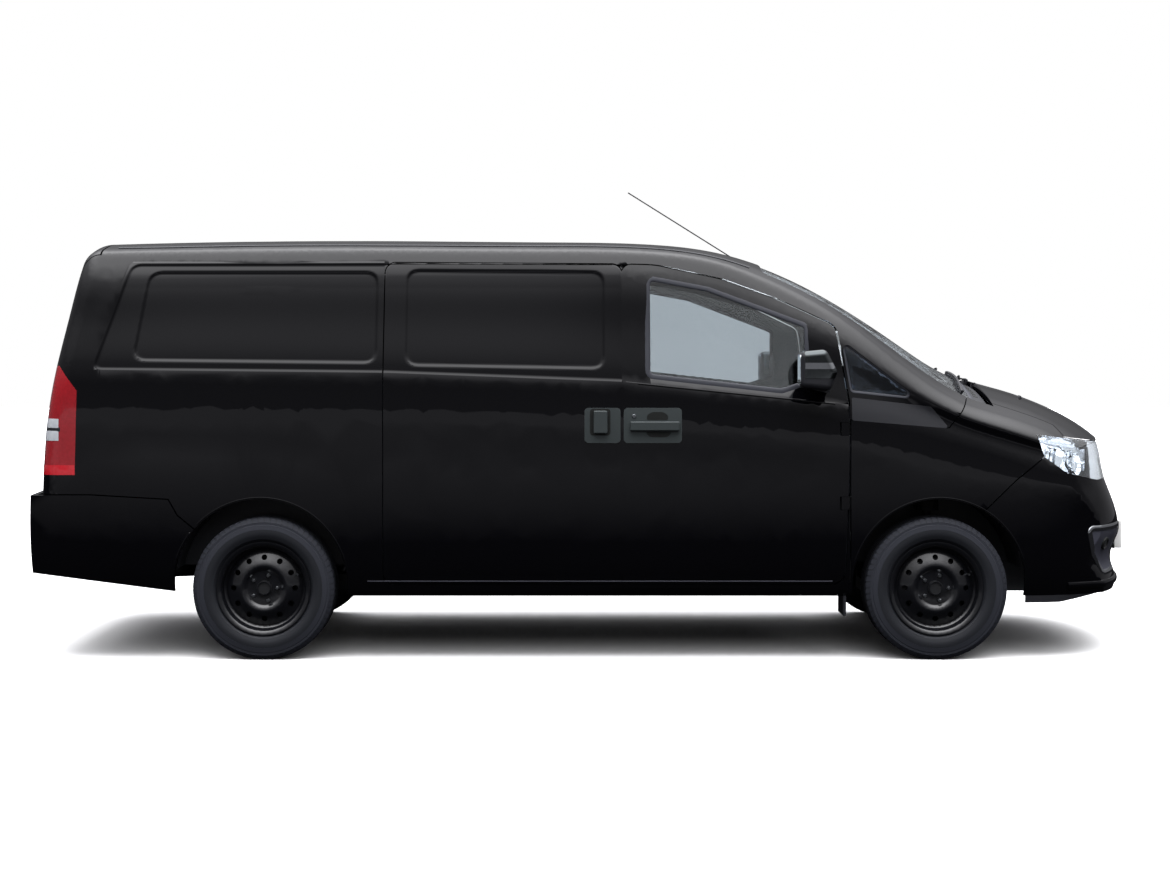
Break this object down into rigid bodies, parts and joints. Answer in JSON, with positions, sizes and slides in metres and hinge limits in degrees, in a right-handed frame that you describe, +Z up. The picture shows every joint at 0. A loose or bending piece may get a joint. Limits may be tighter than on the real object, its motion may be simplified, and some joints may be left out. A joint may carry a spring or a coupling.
{
  "type": "panel van",
  "caption": "One-box panel van with sliding side doors, hinged cab doors, bonnet and tailgate, steered front wheels and an open load space.",
  "frame": {"origin": "on the ground, midway between the bumpers, on the centreline", "axes": "+X to the nose, +Y to the left, +Z up"},
  "size_m": [5.0535, 2.044, 2.1505],
  "materials": {
    "body_paint": "gloss",
    "tyre": "matte",
    "wheel_steel": "satin",
    "glass": "clear",
    "lamp_clear": "clear",
    "lamp_red": "gloss",
    "black_plastic": "matte",
    "chrome_trim": "polished",
    "grey_plastic": "matte",
    "seat_fabric": "woven",
    "floor_paint": "satin",
    "chassis_steel": "matte",
    "cast_metal": "cast"
  },
  "bodies": {
    "body": {"antenna": "black_plastic", "chassis_rails": "chassis_steel", "cowl_panel": "black_plastic", "dashboard": "black_plastic", "engine_block": "cast_metal", "firewall": "floor_paint", "floor_pan": "floor_paint", "fog_surrounds": "chrome_trim", "front_bumper": "body_paint", "front_suspension": "chassis_steel", "fuel_tank": "chassis_steel", "grille": "black_plastic", "headlamps": "lamp_clear", "hinges": "chassis_steel", "mud_flaps": "black_plastic", "partition": "floor_paint", "quarter_glasses": "glass", "quarter_trims": "black_plastic", "rear_bumper": "body_paint", "rear_suspension": "chassis_steel", "roof_panel": "body_paint", "seat_backs": "seat_fabric", "seat_cushions": "seat_fabric", "seat_frames": "chassis_steel", "side_panel_left": "body_paint", "side_panel_right": "body_paint", "sliding_door_handles": "grey_plastic", "sliding_door_left": "body_paint", "sliding_door_right": "body_paint", "spare_wheel": "wheel_steel", "tail_lamps": "lamp_red", "wheelhouses": "floor_paint", "windscreen": "glass", "wing_left": "body_paint", "wing_right": "body_paint"},
    "bonnet": {"bonnet": "body_paint"},
    "door_left": {"door_front_left": "body_paint", "door_glass_left": "glass", "door_handle_left": "grey_plastic", "mirror_left": "black_plastic"},
    "door_right": {"door_front_right": "body_paint", "door_glass_right": "glass", "door_handle_right": "grey_plastic", "mirror_right": "black_plastic"},
    "knuckle_left": {"knuckle_left": "chassis_steel"},
    "knuckle_right": {"knuckle_right": "chassis_steel"},
    "wheel_front_left": {"rim_front_left": "wheel_steel", "tyre_front_left": "tyre"},
    "wheel_front_right": {"rim_front_right": "wheel_steel", "tyre_front_right": "tyre"},
    "wheel_rear_left": {"rim_rear_left": "wheel_steel", "tyre_rear_left": "tyre"},
    "wheel_rear_right": {"rim_rear_right": "wheel_steel", "tyre_rear_right": "tyre"},
    "steering_wheel": {"steering_wheel": "black_plastic"},
    "tailgate": {"tailgate": "body_paint", "tailgate_glass": "glass"}
  },
  "joints": [
    {"name": "steer_right", "type": "hinge", "parent": "body", "child": "knuckle_right", "pos_m": [1.555, -0.7, 0.317], "axis": [0, 0, 1], "range_deg": [-33, 33]},
    {"name": "steer_left", "type": "hinge", "parent": "body", "child": "knuckle_left", "pos_m": [1.555, 0.7, 0.317], "axis": [0, 0, 1], "range_deg": [-33, 33]},
    {"name": "spin_front_right", "type": "hinge", "parent": "knuckle_right", "child": "wheel_front_right", "pos_m": [1.555, -0.742, 0.317], "axis": [0, 1, 0], "continuous": true},
    {"name": "spin_front_left", "type": "hinge", "parent": "knuckle_left", "child": "wheel_front_left", "pos_m": [1.555, 0.742, 0.317], "axis": [0, 1, 0], "continuous": true},
    {"name": "spin_rear_right", "type": "hinge", "parent": "body", "child": "wheel_rear_right", "pos_m": [-1.445, -0.742, 0.317], "axis": [0, 1, 0], "continuous": true},
    {"name": "spin_rear_left", "type": "hinge", "parent": "body", "child": "wheel_rear_left", "pos_m": [-1.445, 0.742, 0.317], "axis": [0, 1, 0], "continuous": true},
    {"name": "door_hinge_right", "type": "hinge", "parent": "body", "child": "door_right", "pos_m": [1.14, -0.848, 0.9], "axis": [0, 0, 1], "range_deg": [0, 65]},
    {"name": "door_hinge_left", "type": "hinge", "parent": "body", "child": "door_left", "pos_m": [1.14, 0.848, 0.9], "axis": [0, 0, -1], "range_deg": [0, 65]},
    {"name": "bonnet_hinge", "type": "hinge", "parent": "body", "child": "bonnet", "pos_m": [1.848, 0, 1.219], "axis": [0, -1, 0], "range_deg": [0, 50]},
    {"name": "tailgate_hinge", "type": "hinge", "parent": "body", "child": "tailgate", "pos_m": [-2.235, 0, 1.868], "axis": [0, 1, 0], "range_deg": [0, 85]},
    {"name": "steering_wheel_turn", "type": "hinge", "parent": "body", "child": "steering_wheel", "pos_m": [1.15, 0.39, 1.115], "axis": [-0.848, 0, 0.5299], "range_deg": [-530, 530]}
  ],
  "couplings": [
    {"joint": "steer_left", "follows": "steer_right", "ratio": 1},
    {"joint": "steering_wheel_turn", "follows": "steer_right", "ratio": 16}
  ]
}
